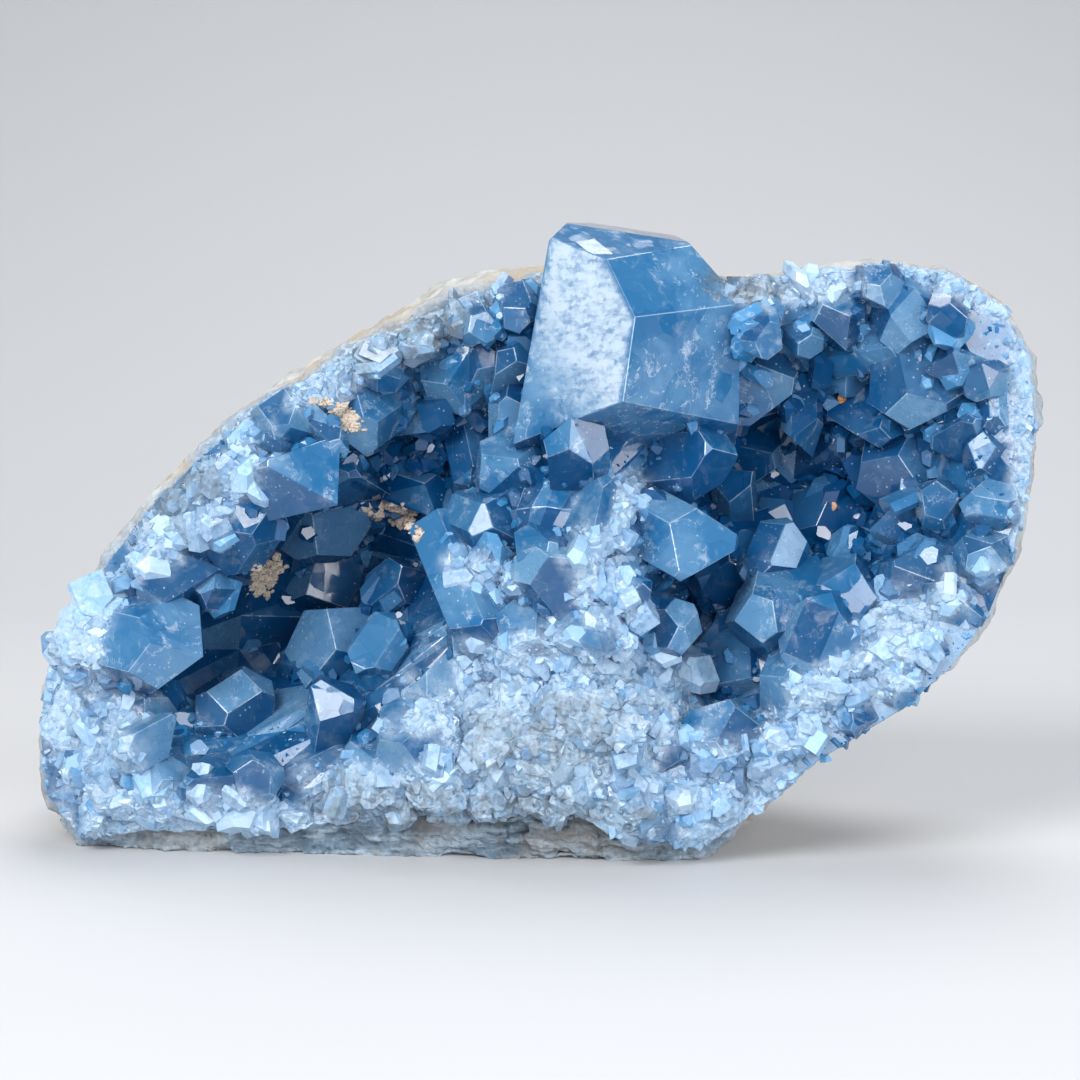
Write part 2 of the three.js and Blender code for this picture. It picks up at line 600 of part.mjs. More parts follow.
const shell = new THREE.Mesh(
  geometryOf(shellSolid),
  new THREE.MeshStandardMaterial({ color: 0xc9ccd0, roughness: 0.92, metalness: 0 }),
);
shell.name = "rock_shell";
geode.add(shell);

const crystals = new THREE.Mesh(
  geometryOf(crustSolid),
  new THREE.MeshStandardMaterial({ color: 0x7fa9d0, roughness: 0.18, metalness: 0 }),
);
crystals.name = "crystal_crust";
geode.add(crystals);

// The origin lies under the middle of the nodule.
const box = new THREE.Box3().setFromObject(geode);
const middle = box.getCenter(new THREE.Vector3());
for (const mesh of geode.children) {
  mesh.position.set(-middle.x, -middle.y, -box.min.z);
}

export default geode;
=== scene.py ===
import math
import random

import bmesh
import bpy
import numpy as np
from mathutils import Matrix, Vector, noise
from mathutils.bvhtree import BVHTree


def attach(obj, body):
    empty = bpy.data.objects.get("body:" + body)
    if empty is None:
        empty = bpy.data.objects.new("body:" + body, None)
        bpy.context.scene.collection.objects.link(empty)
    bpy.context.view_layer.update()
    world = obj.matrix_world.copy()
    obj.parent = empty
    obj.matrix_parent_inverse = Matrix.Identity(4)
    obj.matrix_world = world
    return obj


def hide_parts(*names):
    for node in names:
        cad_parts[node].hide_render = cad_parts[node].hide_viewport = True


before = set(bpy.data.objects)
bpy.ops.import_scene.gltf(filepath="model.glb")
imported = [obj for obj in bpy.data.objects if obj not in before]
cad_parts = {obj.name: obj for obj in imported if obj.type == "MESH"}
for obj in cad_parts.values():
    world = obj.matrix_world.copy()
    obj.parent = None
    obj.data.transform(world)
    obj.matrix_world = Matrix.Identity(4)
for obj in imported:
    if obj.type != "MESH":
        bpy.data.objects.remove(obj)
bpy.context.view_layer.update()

# ---- Rock shell ----------------------------------------------------------------------------------------------
# The nodule's own rock: pale marly limestone shot through with fine celestine. It was broken open in front, its
# outside is weathered, lumpy and stained by iron, and it carries every crystal.


def smooth(value, low, high):
    """0 below low, 1 above high, and a soft slope between them."""
    t = min(max((value - low) / (high - low), 0.0), 1.0)
    return t * t * (3 - 2 * t)


def behind_face(place):
    """How far a place, or each of an array of places, lies behind the open face, along y."""
    x, y, z = place.T if isinstance(place, np.ndarray) else place
    return y - (-0.03745 + 0.17 * z - 0.1 * x)


def joined_copy(node):
    """The shape of a solid of the frame, with its loose triangles joined."""
    bm = bmesh.new()
    bm.from_mesh(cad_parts[node].data)
    bmesh.ops.remove_doubles(bm, verts=bm.verts, dist=1e-5)
    return bm


MOST_ROUNDS = 10  # of halving edges: enough for the longest edge of the solids
SORT_WAY = Vector((12.99, 78.23, 37.72))  # no two places on the geode lie equally far along it
TIE_WAY = Vector((3.1e-6, 5.3e-6, 7.7e-6))  # parts vertices that share a place by their normals


def split_long_edges(bm, longest, spared=None):
    """Halves the edges that are longer than longest(middles) allows, except those among faces marked as spared."""
    for _ in range(MOST_ROUNDS):
        edges = [edge for edge in bm.edges if not spared or not all(face[spared] for face in edge.link_faces)]
        ends = np.array([[vert.co for vert in edge.verts] for edge in edges])
        length = np.linalg.norm(ends[:, 1] - ends[:, 0], axis=1)
        long = np.flatnonzero(length > longest(ends.mean(axis=1)))
        if not len(long):
            break
        bmesh.ops.subdivide_edges(bm, edges=[edges[i] for i in long], cuts=1)
        bmesh.ops.triangulate(bm, faces=[face for face in bm.faces if len(face.verts) > 3])
    # Triangulating leaves the vertices' order to chance, and the small crystals' places are drawn from that order.
    bm.normal_update()
    bm.verts.sort(key=lambda vert: vert.co.dot(SORT_WAY) + vert.normal.dot(TIE_WAY))


def piece_from(bm, name, material):
    """A finished piece on the geode: its mesh, its material and its ride."""
    mesh = bpy.data.meshes.new(name)
    bm.to_mesh(mesh)
    bm.free()
    piece = bpy.data.objects.new(name, mesh)
    bpy.context.scene.collection.objects.link(piece)
    mesh.materials.append(material)
    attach(piece, "root")
    return piece


def new_material(name):
    """A material with only a Principled BSDF in it: the material, its nodes and that shader."""
    material = bpy.data.materials.new(name)
    material.use_nodes = True
    tree = material.node_tree
    shader = next(node for node in tree.nodes if node.type == "BSDF_PRINCIPLED")
    return material, tree, shader


def add_node(tree, kind, values=None, links=None, **settings):
    """A node with its settings, its plain values and what feeds it."""
    node = tree.nodes.new(kind)
    for key, value in settings.items():
        setattr(node, key, value)
    for socket, value in (values or {}).items():
        node.inputs[socket].default_value = value
    for socket, source in (links or {}).items():
        tree.links.new(source, node.inputs[socket])
    return node


def blend_colours(tree, share, a, b, mode="MIX"):
    """Mixes colour b into colour a. Each is a plain colour or a node's output."""
    mix = tree.nodes.new("ShaderNodeMix")
    mix.data_type = "RGBA"
    mix.blend_type = mode
    for socket, value in ((mix.inputs[0], share), (mix.inputs[6], a), (mix.inputs[7], b)):
        if isinstance(value, bpy.types.NodeSocket):
            tree.links.new(value, socket)
        elif isinstance(value, (int, float)):
            socket.default_value = value
        else:
            socket.default_value = (*value, 1)
    return mix.outputs[2]


def stepped(tree, source, low, high, to_low=0.0, to_high=1.0):
    """Spreads the part of a value between low and high over a new range."""
    node = add_node(tree, "ShaderNodeMapRange", interpolation_type="SMOOTHSTEP")
    for socket, value in zip(node.inputs[1:5], (low, high, to_low, to_high)):
        socket.default_value = value
    tree.links.new(source, node.inputs[0])
    return node.outputs[0]


def calculated(tree, operation, a, b):
    """The result of one operation on two values, each of them a plain number or a node's output."""
    node = add_node(tree, "ShaderNodeMath", operation=operation)
    for socket, value in zip(node.inputs, (a, b)):
        if isinstance(value, bpy.types.NodeSocket):
            tree.links.new(value, socket)
        else:
            socket.default_value = value
    return node.outputs[0]


def multiplied(tree, *factors):
    """The product of plain numbers and nodes' outputs."""
    product = factors[0]
    for factor in factors[1:]:
        product = calculated(tree, "MULTIPLY", product, factor)
    return product


def added(tree, *terms):
    """The sum of plain numbers and nodes' outputs."""
    total = terms[0]
    for term in terms[1:]:
        total = calculated(tree, "ADD", total, term)
    return total


def make_grain_group():
    """Mineral grain: broad clouds, a granular mask and a fine height, all on Object coordinates."""
    group = bpy.data.node_groups.new("mineral grain", "ShaderNodeTree")
    for name in ("Cloud Scale", "Grain Scale"):
        group.interface.new_socket(name, in_out="INPUT", socket_type="NodeSocketFloat")
    for name in ("Cloud", "Grain", "Height"):
        group.interface.new_socket(name, in_out="OUTPUT", socket_type="NodeSocketFloat")
    start = group.nodes.new("NodeGroupInput")
    end = group.nodes.new("NodeGroupOutput")
    place = group.nodes.new("ShaderNodeTexCoord").outputs["Object"]
    cloud = add_node(group, "ShaderNodeTexNoise", {"Detail": 5.0, "Roughness": 0.6, "Distortion": 0.4},
                     {"Vector": place, "Scale": start.outputs["Cloud Scale"]})
    grain = add_node(group, "ShaderNodeTexVoronoi", {"Randomness": 1.0},
                     {"Vector": place, "Scale": start.outputs["Grain Scale"]})
    fine = add_node(group, "ShaderNodeTexNoise", {"Detail": 4.0, "Roughness": 0.7},
                    {"Vector": place, "Scale": start.outputs["Grain Scale"]})
    group.links.new(cloud.outputs["Fac"], end.inputs["Cloud"])
    group.links.new(grain.outputs["Distance"], end.inputs["Grain"])
    height = added(group, grain.outputs["Distance"], fine.outputs["Fac"])
    group.links.new(height, end.inputs["Height"])
    return group


grain_group = make_grain_group()


def grain_in(tree, cloud_scale, grain_scale):
    """The outputs of mineral grain at these scales, in waves and grains to a metre."""
    node = tree.nodes.new("ShaderNodeGroup")
    node.node_tree = grain_group
    node.inputs["Cloud Scale"].default_value = cloud_scale
    node.inputs["Grain Scale"].default_value = grain_scale
    return node.outputs


def make_crumb_group():
    """Broken faces packed side by side: each has its own shade and its own flat tilt, a height in metres."""
    group = bpy.data.node_groups.new("crystal crumbs", "ShaderNodeTree")
    group.interface.new_socket("Scale", in_out="INPUT", socket_type="NodeSocketFloat")
    for name in ("Shade", "Tilt", "From Middle"):
        group.interface.new_socket(name, in_out="OUTPUT", socket_type="NodeSocketFloat")
    start = group.nodes.new("NodeGroupInput")
    end = group.nodes.new("NodeGroupOutput")
    place = group.nodes.new("ShaderNodeTexCoord").outputs["Object"]
    cell = add_node(group, "ShaderNodeTexVoronoi", {"Randomness": 1.0},
                    {"Vector": place, "Scale": start.outputs["Scale"]})
    slope = add_node(group, "ShaderNodeVectorMath", {1: (0.5, 0.5, 0.5)}, {0: cell.outputs["Color"]},
                     operation="SUBTRACT")
    offset = add_node(group, "ShaderNodeVectorMath", None, {0: place, 1: cell.outputs["Position"]},
                      operation="SUBTRACT")
    tilt = add_node(group, "ShaderNodeVectorMath", None, {0: offset.outputs[0], 1: slope.outputs[0]},
                    operation="DOT_PRODUCT")
    shade = add_node(group, "ShaderNodeSeparateColor", None, {0: cell.outputs["Color"]})
    group.links.new(shade.outputs[0], end.inputs["Shade"])
    group.links.new(tilt.outputs["Value"], end.inputs["Tilt"])
    group.links.new(cell.outputs["Distance"], end.inputs["From Middle"])
    return group


crumb_group = make_crumb_group()


def crumbs_in(tree, scale):
    """The outputs of crystal crumbs, scale of them to a metre."""
    node = tree.nodes.new("ShaderNodeGroup")
    node.node_tree = crumb_group
    node.inputs["Scale"].default_value = scale
    return node.outputs


# Where the rock and the crust are dirty: the middle of each area and its half-lengths on the open face, the turn of
# its long axis in degrees, and how strongly.
DIRTY_AREAS = (
    {"name": "upper left rim", "at": (-0.0256, 0.1200), "half": (0.0150, 0.0060), "turn": 30, "share": 1.0},
    {"name": "left rim", "at": (-0.0810, 0.0815), "half": (0.0110, 0.0045), "turn": 46, "share": 0.8},
    {"name": "beside the great crystal", "at": (0.0480, 0.1310), "half": (0.0110, 0.0045), "turn": -5, "share": 0.8},
    {"name": "lower middle", "at": (0.0040, 0.0300), "half": (0.0190, 0.0120), "turn": 10, "share": 0.7},
    {"name": "foot", "at": (-0.0120, 0.0130), "half": (0.0420, 0.0060), "turn": 0, "share": 0.9},
)


def plain_share(areas, places, ragged=0.0):
    """How strongly each of an array of places belongs to some areas. ragged moves the areas' edges."""
    most = np.zeros(len(places))
    for area in areas:
        x, z = places[:, 0] - area["at"][0], places[:, 2] - area["at"][1]
        turn = math.radians(area["turn"])
        along = (x * math.cos(turn) + z * math.sin(turn)) / area["half"][0]
        across = (z * math.cos(turn) - x * math.sin(turn)) / area["half"][1]
        t = np.clip((np.hypot(along, across) + ragged - 0.6) / 0.65, 0, 1)
        most = np.maximum(most, area["share"] * (1 - t * t * (3 - 2 * t)))
    return most


def ragged_share(areas, places):
    """The same with ragged edges and gaps."""
    ragged = [0.42 * noise.fractal(Vector(place) * 130, 0.8, 2.1, 4) for place in places]
    return plain_share(areas, places, np.array(ragged))


def read_mark(tree, name):
    """The value that a piece's mesh carries under this name."""
    return add_node(tree, "ShaderNodeAttribute", attribute_name=name).outputs["Fac"]


def make_rock():
    """Chalky rock with tan and rusty stains and dark specks, a sugary rind in front, and blue under the crust."""
    material, tree, shader = new_material("pale matrix rock")
    broad = grain_in(tree, 28.0, 620.0)
    small = grain_in(tree, 150.0, 1500.0)
    crumbs = crumbs_in(tree, 1100.0)
    rind, strip, dirt, covered = [read_mark(tree, name) for name in ("rind", "strip", "dirt", "covered")]
    colour = blend_colours(tree, stepped(tree, small["Cloud"], 0.35, 0.65), (0.33, 0.33, 0.32), (0.50, 0.51, 0.50))
    tan = stepped(tree, broad["Cloud"], 0.46, 0.62)
    colour = blend_colours(tree, multiplied(tree, tan, 0.75), colour, (0.40, 0.32, 0.22))
    rust = multiplied(tree, stepped(tree, broad["Cloud"], 0.58, 0.70), stepped(tree, small["Cloud"], 0.45, 0.6))
    colour = blend_colours(tree, multiplied(tree, rust, 0.7), colour, (0.30, 0.15, 0.07))
    chalk = stepped(tree, broad["Cloud"], 0.44, 0.30)
    colour = blend_colours(tree, multiplied(tree, chalk, 0.6), colour, (0.54, 0.58, 0.61))
    icy = blend_colours(tree, crumbs["Shade"], (0.14, 0.23, 0.34), (0.44, 0.56, 0.68))
    icy = blend_colours(tree, stepped(tree, small["Cloud"], 0.38, 0.62, 0.0, 0.6), icy, (0.18, 0.29, 0.42))
    colour = blend_colours(tree, rind, colour, icy)
    place = tree.nodes.new("ShaderNodeTexCoord").outputs["Object"]
    laid = add_node(tree, "ShaderNodeMapping", {"Rotation": (0, math.radians(-8), 0), "Scale": (60, 60, 420)},
                    {"Vector": place})
    layers = add_node(tree, "ShaderNodeTexNoise", {"Scale": 1.0, "Detail": 5.0, "Roughness": 0.65},
                      {"Vector": laid.outputs[0]}).outputs["Fac"]
    bedded = blend_colours(tree, stepped(tree, layers, 0.40, 0.60), (0.06, 0.10, 0.14), (0.30, 0.38, 0.45))
    bedded = blend_colours(tree, stepped(tree, small["Cloud"], 0.50, 0.62, 0.0, 0.7), bedded, (0.16, 0.15, 0.13))
    bedded = blend_colours(tree, multiplied(tree, tan, 0.5), bedded, (0.22, 0.16, 0.10))
    colour = blend_colours(tree, multiplied(tree, strip, 0.8), colour, bedded)
    specks = multiplied(tree, stepped(tree, small["Grain"], 0.16, 0.05), stepped(tree, small["Cloud"], 0.50, 0.60))
    colour = blend_colours(tree, multiplied(tree, specks, 0.75), colour, (0.12, 0.10, 0.09))
    soot = multiplied(tree, dirt, rind, stepped(tree, small["Cloud"], 0.42, 0.56))
    colour = blend_colours(tree, multiplied(tree, soot, 0.8), colour, (0.07, 0.08, 0.09))
    massive = blend_colours(tree, small["Cloud"], (0.001, 0.06, 0.20), (0.02, 0.22, 0.50))
    colour = blend_colours(tree, covered, colour, massive)
    tree.links.new(colour, shader.inputs["Base Color"])
    tree.links.new(stepped(tree, small["Cloud"], 0.3, 0.7, 0.70, 0.95), shader.inputs["Roughness"])
    relief = added(tree, multiplied(tree, broad["Height"], 0.00022), multiplied(tree, crumbs["Tilt"], rind, 0.6))
    bump = add_node(tree, "ShaderNodeBump", {"Strength": 1.0, "Distance": 1.0}, {"Height": relief})
    tree.links.new(bump.outputs["Normal"], shader.inputs["Normal"])
    return material


solid_crust = BVHTree.FromBMesh(joined_copy("crystal_crust"))  # the frame's solid, before it is dressed


def weathered(place, front, strip):
    """How far the weather moved a place of the shell's surface outwards, by its shares of front and of strip."""
    rise = 0.0011 * noise.fractal(place * 70, 0.9, 2.1, 4)
    rise += (0.0005 + 0.0004 * front) * noise.fractal(place * 360, 0.8, 2.1, 3)
    ledge = noise.noise(Vector((place.x * 22, place.y * 60, place.z * 95 + 3)))
    rise += 0.0009 * smooth(ledge, -0.05, 0.08) * (1 - front) - 0.0003
    pit = noise.noise(place * 130 + Vector((7, 1, 4)))
    rise -= 0.0013 * smooth(pit, 0.28, 0.55)
    layers = noise.noise(Vector((place.x * 16, place.y * 30, place.z * 420 + place.x * 60)))
    rise += 0.0010 * smooth(layers, -0.15, 0.15) * strip
    rise += 0.0012 * noise.fractal(Vector((place.x * 190, place.y * 190, place.z * 420)), 0.7, 2.1, 3) * strip
    crumble = noise.noise(place * 210 + Vector((3, 8, 2)))
    rise -= 0.0016 * smooth(crumble, 0.12, 0.40) * strip
    return rise


FRONT_CELL, BACK_CELL = 0.0010, 0.0022  # the shell's longest edges near the open face and elsewhere
STRIP_TOP = 0.022  # the bare strip of bedded rock along the bottom ends at this height


def make_shell():
    """The shell in fine triangles, weathered, with marks for the rind, the strip, dirt and what the crust covers."""
    bm = joined_copy("rock_shell")
    under_crust = bm.faces.layers.int.new("under crust")
    for face in bm.faces:
        middle = face.calc_center_median()
        face[under_crust] = behind_face(middle) > 0.0008 and solid_crust.find_nearest(middle)[3] < 0.0009
    split_long_edges(
        bm, lambda middles: np.where(behind_face(middles) < 0.009, FRONT_CELL, BACK_CELL), under_crust
    )
    bm.normal_update()
    rind, strip_mark, dirt_mark, covered_mark = [
        bm.verts.layers.float.new(name) for name in ("rind", "strip", "dirt", "covered")
    ]
    dirts = plain_share(DIRTY_AREAS, np.array([vert.co for vert in bm.verts]))
    for vert, dirt in zip(bm.verts, dirts):
        place = vert.co.copy()
        back = behind_face(place)
        front = 1 - smooth(back, 0.002, 0.012)
        vert[rind] = 1 - smooth(back + 0.004 * noise.noise(place * 90), 0.003, 0.012)
        vert[strip_mark] = strip = smooth(STRIP_TOP - place.z + 0.003 * noise.noise(place * 120), 0, 0.008) * front
        vert[dirt_mark] = dirt
        distance = solid_crust.find_nearest(place)[3]
        covered = 1 - smooth(distance, 0.0006, 0.0016)
        if back > 0.004 or vert.normal.y < -0.85:
            vert[covered_mark] = 1 - smooth(distance, 0.0001, 0.0005)
        if covered > 0.99:
            continue
        rise = weathered(place, front, strip) * (1 - covered)
        if vert.normal.z < -0.8 and place.z < 0.0004:
            rise = -abs(rise) * 0.4
        vert.co = place + vert.normal * rise
        vert.co.z = max(vert.co.z, 0)
    for face in bm.faces:
        face.smooth = True
    piece = piece_from(bm, "weathered_shell", make_rock())
    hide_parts("rock_shell")
    return piece


shell = make_shell()

# ---- Crystal crust -------------------------------------------------------------------------------------------
# One crust of celestine, grown together into a single body: milky blue, painted deeper blue as shade in the hollows
# and sheltered crevices, with veils inside and worn edges painted white, partly wear and partly painted highlight.
# The great crystal of the upper rim belongs to it, frosted on its left face.

# Where the crust is crushed or sugary white, given like the dirty areas.
WHITE_AREAS = (
    {"name": "ridge", "at": (0.0155, 0.0670), "half": (0.0075, 0.0150), "turn": 8, "share": 0.8},
    {"name": "ridge top", "at": (0.0210, 0.0820), "half": (0.0045, 0.0070), "turn": -20, "share": 0.8},
    {"name": "ridge left arm", "at": (-0.0120, 0.0665), "half": (0.0090, 0.0045), "turn": -20, "share": 0.7},
    {"name": "lower middle", "at": (0.0040, 0.0330), "half": (0.0330, 0.0210), "turn": 8, "share": 0.95},
    {"name": "foot", "at": (-0.0070, 0.0160), "half": (0.0480, 0.0110), "turn": 0, "share": 0.9},
    {"name": "right bank", "at": (0.0740, 0.0440), "half": (0.0330, 0.0085), "turn": 40, "share": 0.85},
    {"name": "right foot", "at": (0.0440, 0.0150), "half": (0.0170, 0.0120), "turn": 35, "share": 0.7},
    {"name": "right rim", "at": (0.1100, 0.0950), "half": (0.0030, 0.0340), "turn": 0, "share": 0.7},
    {"name": "top right rim", "at": (0.0960, 0.1310), "half": (0.0220, 0.0050), "turn": -28, "share": 0.8},
    {"name": "upper right rim", "at": (0.0600, 0.1310), "half": (0.0150, 0.0060), "turn": 0, "share": 0.8},
    {"name": "upper left rim", "at": (-0.0310, 0.1180), "half": (0.0340, 0.0048), "turn": 32, "share": 0.7},
    {"name": "left rim", "at": (-0.0770, 0.0800), "half": (0.0250, 0.0070), "turn": 44, "share": 0.8},
    {"name": "left end", "at": (-0.1060, 0.0440), "half": (0.0080, 0.0250), "turn": -12, "share": 0.8},
    {"name": "lower left", "at": (-0.0780, 0.0090), "half": (0.0400, 0.0085), "turn": -5, "share": 0.85},
    {"name": "left corner", "at": (-0.0980, 0.0250), "half": (0.0120, 0.0120), "turn": 0, "share": 0.6},
)

GREAT_CORNER = Vector((0.0224, -0.0415, 0.1235))  # where the great crystal's three large front faces meet
FROSTED_FACE = Vector((-0.507, -0.854, 0.117)).normalized()


def frosted_share(place, normal):
    """How frosted the great crystal is: its left face, whitest towards the ridge that parts it from the right."""
    if normal.dot(FROSTED_FACE) < 0.995 or abs((place - GREAT_CORNER).dot(FROSTED_FACE)) > 0.0008:
        return 0.0
    along = 0.85 * place.x + 0.5 * (place.z - 0.11) + 0.003 * noise.fractal(place * 90, 0.9, 2.1, 3)
    return 0.04 + 0.88 * smooth(along, -0.004, 0.015)


CELESTINE_IOR = 1.62


def make_celestine(name, transmission, tones, roughness, crumb_tilt=0.0, absorb=None):
    """Celestine, coloured by the marks on its mesh.

    tones are the deep, the middle, the pale and the white colour, and roughness is the least and the most. Crushed
    celestine has a crumb_tilt. absorb is the colour and the density of what is seen through.
    """
    deep, middle, pale, white = tones
    material, tree, shader = new_material(name)
    veils = grain_in(tree, 62.0, 900.0)["Cloud"]
    wisps = grain_in(tree, 300.0, 2600.0)["Cloud"]
    crumbs = crumbs_in(tree, 1000.0)
    painted_shade, frost, edge, facet, dirt = [read_mark(tree, key) for key in ("painted_shade", "frost", "edge", "facet", "dirt")]
    milky = multiplied(tree, stepped(tree, veils, 0.42, 0.66), 0.55)
    colour = blend_colours(tree, milky, middle, pale)
    relief = multiplied(tree, crumbs["Tilt"], frost, crumb_tilt) if crumb_tilt else None
    feathers = 0.5
    if absorb:  # faces that are large enough to show growth steps and frost feathers
        steps = crumbs_in(tree, 170.0)
        colour = blend_colours(tree, stepped(tree, steps["Shade"], 0.2, 0.9, 0.0, 0.12), colour, pale)
        relief = multiplied(tree, steps["Tilt"], 0.07)
        place = tree.nodes.new("ShaderNodeTexCoord").outputs["Object"]
        brushed = add_node(tree, "ShaderNodeMapping",
                           {"Rotation": (0, math.radians(-35), 0), "Scale": (280, 280, 800)}, {"Vector": place})
        feathers = add_node(tree, "ShaderNodeTexNoise", {"Scale": 1.0, "Detail": 4.0, "Roughness": 0.65},
                            {"Vector": brushed.outputs[0]}).outputs["Fac"]
    scratches = multiplied(tree, stepped(tree, wisps, 0.54, 0.72), stepped(tree, veils, 0.35, 0.6, 0.15, 0.5))
    colour = blend_colours(tree, scratches, colour, white)
    off_level = calculated(tree, "ABSOLUTE", calculated(tree, "SUBTRACT", veils, 0.52), 0.0)
    cracks = multiplied(tree, stepped(tree, off_level, 0.010, 0.002), stepped(tree, wisps, 0.42, 0.58, 0.0, 0.5))
    colour = blend_colours(tree, cracks, colour, white)
    clear = multiplied(tree, stepped(tree, facet, 0.62, 0.20), 0.72)
    colour = blend_colours(tree, clear, colour, deep)
    # Painted shade: deep blue in the hollows and sheltered crevices that the mesh marks.
    colour = blend_colours(tree, multiplied(tree, painted_shade, 0.94), colour, deep)
    # Painted sheen: facets drawn at random are painted paler, less so deep in the hollows, and are made rougher too.
    satin_and_painted_sheen = stepped(tree, facet, 0.66, 0.98)
    colour = blend_colours(tree, multiplied(tree, satin_and_painted_sheen, stepped(tree, painted_shade, 0.1, 0.9, 0.55, 0.30)), colour, pale)
    sprinkled = multiplied(tree, stepped(tree, crumbs["Shade"], 0.80, 0.88), stepped(tree, veils, 0.44, 0.58))
    specks = multiplied(tree, stepped(tree, crumbs["From Middle"], 0.30, 0.12), sprinkled, 0.7)
    colour = blend_colours(tree, specks, colour, white)
    grainy = added(tree, multiplied(tree, crumbs["Shade"], 0.3), feathers, multiplied(tree, wisps, 0.7))
    crushed = multiplied(tree, frost, stepped(tree, grainy, 0.62, 1.15, 0.22, 1.0))
    colour = blend_colours(tree, crushed, colour, white)
    sooty = multiplied(tree, stepped(tree, crumbs["Shade"], 0.45, 0.30), stepped(tree, wisps, 0.40, 0.55))
    flecks = multiplied(tree, stepped(tree, crumbs["From Middle"], 0.50, 0.25), sooty)
    colour = blend_colours(tree, multiplied(tree, dirt, flecks, 0.75), colour, (0.10, 0.09, 0.08))
    grime = multiplied(tree, dirt, stepped(tree, wisps, 0.40, 0.60, 0.25, 0.85))
    colour = blend_colours(tree, grime, colour, (0.10, 0.13, 0.16))
    # Wear and painted highlight: the narrow flats on the crystals' edges are painted whiter, partly chipped wear and
    # partly the light that edges catch.
    edge_wear_and_highlight = multiplied(tree, edge, stepped(tree, wisps, 0.36, 0.56, 0.10, 0.50))
    colour = blend_colours(tree, edge_wear_and_highlight, colour, white)
    tree.links.new(colour, shader.inputs["Base Color"])
    rough = added(
        tree, stepped(tree, wisps, 0.35, 0.7, roughness[0], roughness[1]), multiplied(tree, satin_and_painted_sheen, 0.20),
        multiplied(tree, frost, 0.35),
    )
    tree.links.new(rough, shader.inputs["Roughness"])
    shader.inputs["IOR"].default_value = CELESTINE_IOR
    shader.inputs["Specular IOR Level"].default_value = 0.4
    shader.inputs["Transmission Weight"].default_value = transmission
    if relief is not None:
        bump = add_node(tree, "ShaderNodeBump", {"Strength": 1.0, "Distance": 1.0}, {"Height": relief})
        tree.links.new(bump.outputs["Normal"], shader.inputs["Normal"])
    if absorb:
        absorbed, density = absorb
        volume = add_node(tree, "ShaderNodeVolumeAbsorption", {"Color": (*absorbed, 1), "Density": density})
        output = next(node for node in tree.nodes if node.type == "OUTPUT_MATERIAL")
        tree.links.new(volume.outputs[0], output.inputs["Volume"])
    return material


DEEP_BLUE = (0.001, 0.06, 0.20)
BLUE = (0.019, 0.172, 0.410)
PALE_BLUE = (0.19, 0.415, 0.67)
ICE_WHITE = (0.64, 0.79, 0.94)


WORN_WIDTH = 0.00015


def wear_edges(bm, edge_mark, dice):
    """Blunts the crystals' standing edges to a narrow flat, where there is room for one."""
    standing = []
    for edge in bm.edges:
        if not edge.is_convex or edge.calc_face_angle(0) < 0.2 or edge.calc_length() < 0.0012:
            continue
        if all(near.calc_length() > 0.0005 for vert in edge.verts for near in vert.link_edges):
            standing.append(edge)
    edge_wear_and_highlight = bmesh.ops.bevel(
        bm, geom=standing, offset=WORN_WIDTH, segments=1, profile=0.5, affect="EDGES", material=-1
    )
    # How white each flat is painted: partly wear, partly painted highlight.
    for face in edge_wear_and_highlight["faces"]:
        face[edge_mark] = dice.uniform(0.05, 1.0)


solid_shell = BVHTree.FromBMesh(joined_copy("rock_shell"))


def at_rim(place):
    """How near a place of the crust is to the rim of the nodule, where it was crushed too."""
    if behind_face(place) > 0.004:
        return 0.0
    distance = solid_shell.find_nearest(place)[3]
    return 0.85 * (1 - smooth(distance + 0.0012 * noise.fractal(place * 260, 0.8, 2.1, 3), 0.0018, 0.0036))


SHELTER_WAYS, SHELTER_REACH = 6, 0.007


def sheltered(surface, place, normal):
    """The share of the ways out from a place that the surface shuts within reach."""
    side = normal.orthogonal().normalized()
    across = normal.cross(side)
    start = place + normal * 0.0003
    shut = 0
    for number in range(SHELTER_WAYS):
        angle = number * 2 * math.pi / SHELTER_WAYS
        way = normal * 0.7 + side * math.cos(angle) + across * math.sin(angle)
        shut += surface.ray_cast(start, way.normalized(), SHELTER_REACH)[0] is not None
    return shut / SHELTER_WAYS


WHITE_CELL, BLUE_CELL = 0.0022, 0.0028  # the crust's longest edges in the white areas and elsewhere


